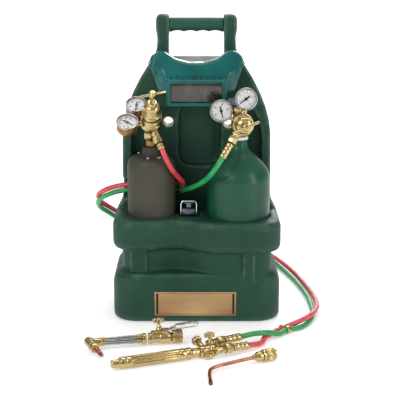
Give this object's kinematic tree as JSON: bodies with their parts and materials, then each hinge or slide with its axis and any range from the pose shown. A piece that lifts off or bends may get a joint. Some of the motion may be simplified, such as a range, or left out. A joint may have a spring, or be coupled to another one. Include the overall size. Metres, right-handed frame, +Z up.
{
  "type": "oxy acetylene torch outfit",
  "caption": "Portable gas welding outfit: a green moulded tote stand holding an oxygen and an acetylene cylinder with regulators, twin hose, torch, attachments, goggles and striker.",
  "frame": {"origin": "middle of the stand's underside, on the floor", "axes": "+Z up, the front with the name plate faces -Y, and the oxygen cylinder is on +X"},
  "size_m": [0.4945, 0.8245, 0.631],
  "materials": {
    "green_plastic": "moulded, slightly grained",
    "copper_plate": "brushed copper colour with a dark border",
    "grey_paint": "satin grey enamel",
    "green_paint": "gloss green enamel",
    "brass": "bright turned brass",
    "steel": "bright steel",
    "black_steel": "black",
    "chrome": "polished wire",
    "rubber": "black rubber",
    "hose_rubber": "red and green hose rubber",
    "red_rubber": "smooth red hose cover",
    "green_rubber": "smooth green hose cover",
    "teal_vinyl": "soft glossy vinyl",
    "tinted_glass": "shaded welding glass",
    "elastic": "woven elastic",
    "white_paint": "white",
    "grey_plastic": "moulded grey",
    "copper": "bare copper"
  },
  "bodies": {
    "stand": {"stand_body": "green_plastic", "handle_grip": "green_plastic", "name_plate": "copper_plate", "acetylene_cylinder": "grey_paint", "acetylene_valve": "brass", "oxygen_cylinder": "green_paint", "oxygen_neck_ring": "white_paint", "oxygen_valve": "brass", "oxygen_regulator_body": "brass", "oxygen_inlet_nut": "brass", "oxygen_diaphragm": "rubber", "oxygen_bonnet": "brass", "oxygen_adjusting_spring": "steel", "oxygen_hose_fitting": "brass", "oxygen_high_gauge": "steel", "oxygen_low_gauge": "steel", "acetylene_regulator_body": "brass", "acetylene_inlet_nut": "brass", "acetylene_diaphragm": "rubber", "acetylene_bonnet": "brass", "acetylene_adjusting_spring": "steel", "acetylene_hose_fitting": "brass", "acetylene_high_gauge": "steel", "acetylene_low_gauge": "steel", "red_hose_upper": "red_rubber", "green_hose_upper": "green_rubber", "red_hose_lower": "red_rubber", "green_hose_lower": "green_rubber", "hose_coil": "hose_rubber", "hose_clip_upper": "brass", "hose_clip_lower": "brass", "torch_barrel": "brass", "torch_valve_block": "brass", "torch_oxygen_fitting": "brass", "torch_acetylene_fitting": "brass"},
    "acetylene_stem": {"acetylene_valve_stem": "steel"},
    "oxygen_handwheel": {"oxygen_handwheel": "grey_plastic"},
    "oxygen_screw": {"oxygen_adjusting_screw": "brass"},
    "oxygen_high_needle": {"oxygen_high_needle": "black_steel"},
    "oxygen_low_needle": {"oxygen_low_needle": "black_steel"},
    "acetylene_screw": {"acetylene_adjusting_screw": "brass"},
    "acetylene_high_needle": {"acetylene_high_needle": "black_steel"},
    "acetylene_low_needle": {"acetylene_low_needle": "black_steel"},
    "torch_oxygen_knob": {"torch_oxygen_knob": "brass"},
    "torch_acetylene_knob": {"torch_acetylene_knob": "brass"},
    "cutting_attachment": {"cutting_head": "brass", "cutting_tip_nut": "brass", "cutting_tip": "copper", "cutting_body": "brass"},
    "cutting_lever": {"cutting_lever": "steel"},
    "cutting_knob": {"cutting_oxygen_knob": "brass"},
    "cutting_coupling_nut": {"cutting_coupling_nut": "brass"},
    "welding_nozzle": {"nozzle_tube": "copper"},
    "nozzle_nut": {"nozzle_nut": "brass"},
    "goggles": {"goggle_frame": "teal_vinyl", "goggle_lens": "tinted_glass", "goggle_strap": "elastic"},
    "striker": {"striker_frame": "chrome", "striker_cup": "steel"},
    "striker_arm": {"striker_arm": "steel"}
  },
  "joints": [
    {"name": "acetylene_valve_turn", "type": "hinge", "parent": "stand", "child": "acetylene_stem", "pos_m": [-0.096, -0.006, 0.385], "axis": [0, 0, 1], "range_deg": [0, 270]},
    {"name": "oxygen_valve_turn", "type": "hinge", "parent": "stand", "child": "oxygen_handwheel", "pos_m": [0.089, -0.0365, 0.455], "axis": [0, 0, 1], "continuous": true},
    {"name": "oxygen_pressure_adjust", "type": "hinge", "parent": "stand", "child": "oxygen_screw", "pos_m": [0.09661, -0.16253, 0.42534], "axis": [0.0637, -0.9957, 0.0667], "continuous": true},
    {"name": "oxygen_high_reading", "type": "hinge", "parent": "stand", "child": "oxygen_high_needle", "pos_m": [0.09991, -0.10295, 0.47199], "axis": [-0.0637, 0.9957, -0.0667], "range_deg": [0, 270], "stiffness_Nm_per_rad": 0.0002},
    {"name": "oxygen_low_reading", "type": "hinge", "parent": "stand", "child": "oxygen_low_needle", "pos_m": [0.04976, -0.10773, 0.44857], "axis": [-0.0637, 0.9957, -0.0667], "range_deg": [0, 270], "stiffness_Nm_per_rad": 0.0002},
    {"name": "acetylene_pressure_adjust", "type": "hinge", "parent": "stand", "child": "acetylene_screw", "pos_m": [-0.08934, -0.08878, 0.46969], "axis": [0.066, -0.5752, 0.8153], "continuous": true},
    {"name": "acetylene_high_reading", "type": "hinge", "parent": "stand", "child": "acetylene_high_needle", "pos_m": [-0.1253, -0.02557, 0.44851], "axis": [-0.066, 0.5752, -0.8153], "range_deg": [0, 270], "stiffness_Nm_per_rad": 0.0002},
    {"name": "acetylene_low_reading", "type": "hinge", "parent": "stand", "child": "acetylene_low_needle", "pos_m": [-0.14234, -0.06877, 0.41941], "axis": [-0.066, 0.5752, -0.8153], "range_deg": [0, 270], "stiffness_Nm_per_rad": 0.0002},
    {"name": "torch_oxygen_turn", "type": "hinge", "parent": "stand", "child": "torch_oxygen_knob", "pos_m": [0.02664, -0.29054, 0.0251], "axis": [-0.116, 0.3103, 0.9435], "continuous": true},
    {"name": "torch_acetylene_turn", "type": "hinge", "parent": "stand", "child": "torch_acetylene_knob", "pos_m": [0.00651, -0.2938, 0.0201], "axis": [-0.463, 0.8098, 0.3603], "continuous": true},
    {"name": "cutting_attachment_lift", "type": "slide", "parent": "stand", "child": "cutting_attachment", "axis": [0, 0, 1], "range_m": [0, 0.12]},
    {"name": "cutting_lever_press", "type": "hinge", "parent": "cutting_attachment", "child": "cutting_lever", "pos_m": [-0.06424, -0.23658, 0.031], "axis": [-0.1994, 0.9799, 0], "range_deg": [0, 6], "stiffness_Nm_per_rad": 1.5},
    {"name": "cutting_oxygen_turn", "type": "hinge", "parent": "cutting_attachment", "child": "cutting_knob", "pos_m": [-0.07479, -0.22985, 0.0272], "axis": [-0.09, 0.4422, 0.8924], "continuous": true},
    {"name": "cutting_coupling_turn", "type": "hinge", "parent": "cutting_attachment", "child": "cutting_coupling_nut", "pos_m": [-0.03876, -0.23139, 0.0142], "axis": [0.9799, 0.1994, 0], "continuous": true},
    {"name": "welding_nozzle_lift", "type": "slide", "parent": "stand", "child": "welding_nozzle", "axis": [0, 0, 1], "range_m": [0, 0.12]},
    {"name": "nozzle_nut_turn", "type": "hinge", "parent": "welding_nozzle", "child": "nozzle_nut", "pos_m": [0.13768, -0.32314, 0.0122], "axis": [-0.8949, -0.4462, 0], "continuous": true},
    {"name": "goggles_lift", "type": "slide", "parent": "stand", "child": "goggles", "axis": [0, 0, 1], "range_m": [0, 0.1]},
    {"name": "striker_lift", "type": "slide", "parent": "stand", "child": "striker", "axis": [0, 0, 1], "range_m": [0, 0.015]},
    {"name": "striker_squeeze", "type": "hinge", "parent": "striker", "child": "striker_arm", "pos_m": [-0.0165, -0.0422, 0.2425], "axis": [0, 1, 0], "range_deg": [-8, 8], "stiffness_Nm_per_rad": 0.05}
  ]
}
